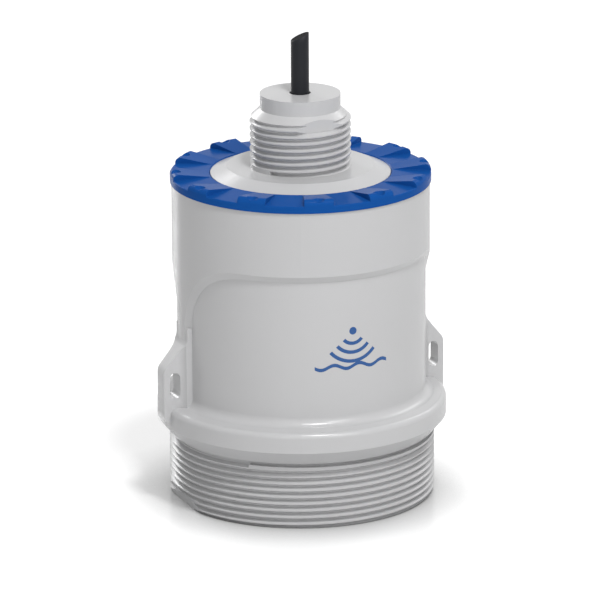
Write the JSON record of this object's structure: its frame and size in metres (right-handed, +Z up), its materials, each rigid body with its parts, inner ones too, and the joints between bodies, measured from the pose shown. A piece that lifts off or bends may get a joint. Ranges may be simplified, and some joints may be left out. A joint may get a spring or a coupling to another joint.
{
  "type": "radar level transmitter",
  "caption": "Compact radar level transmitter with a large lower thread, slotted ears, a screwed top ring with grip lugs, a threaded neck and a short cable stub.",
  "frame": {"origin": "middle of the lower rim of the housing, on the surface it stands on", "axes": "+Z up along the thread axis towards the cable, -Y to the front panel, +X and -X through the ears"},
  "size_m": [0.1002, 0.0958, 0.1561],
  "materials": {
    "housing_grey": "smooth moulded plastic, slight sheen",
    "ring_blue": "glossy moulded plastic",
    "washer_white": "plain slippery plastic",
    "seal_black": "matt rubber",
    "cable_black": "smooth extruded jacket",
    "gland_brass": "turned",
    "plain_steel": "plated",
    "lens_white": "turned plastic",
    "carrier_grey": "moulded",
    "absorber_foam": "open foam",
    "horn_metal": "turned",
    "board_green": "lacquered circuit board",
    "chip_black": "moulded",
    "can_metal": "drawn",
    "core_dark": "sintered core",
    "block_green": "moulded",
    "wire_red": "sleeve",
    "wire_blue": "sleeve"
  },
  "bodies": {
    "housing_body": {"housing": "housing_grey", "top_cap": "housing_grey", "cap_seal": "seal_black", "cable": "cable_black", "gland_nut": "gland_brass", "gland_washer": "plain_steel", "gland_seal": "seal_black", "antenna_lens": "lens_white", "lens_seal": "seal_black", "antenna_carrier": "carrier_grey", "clamp_ring": "carrier_grey", "absorber_sleeve": "absorber_foam", "feed_horn": "horn_metal", "lower_spacers": "gland_brass", "radar_board": "board_green", "radar_chip": "chip_black", "shield_can": "can_metal", "middle_spacers": "gland_brass", "processor_board": "board_green", "processor_chip": "chip_black", "crystal": "can_metal", "radio_module": "can_metal", "lower_header": "chip_black", "upper_spacers": "gland_brass", "upper_header": "chip_black", "power_board": "board_green", "board_screws": "plain_steel", "capacitors": "can_metal", "inductor": "core_dark", "surge_arrester": "can_metal", "terminal_block": "block_green", "terminal_screws": "plain_steel", "wire_positive": "wire_red", "wire_negative": "wire_blue"},
    "ring_carriage": {"slip_washer": "washer_white"},
    "ring": {"retaining_ring": "ring_blue"}
  },
  "joints": [
    {"name": "ring_rise", "type": "slide", "parent": "housing_body", "child": "ring_carriage", "axis": [0, 0, 1], "range_m": [0, 0.006]},
    {"name": "ring_turn", "type": "hinge", "parent": "ring_carriage", "child": "ring", "pos_m": [0, 0, 0.1], "axis": [0, 0, 1], "range_deg": [0, 1080]}
  ],
  "couplings": [
    {"joint": "ring_rise", "follows": "ring_turn", "m_per_rad": 0.00031831}
  ]
}
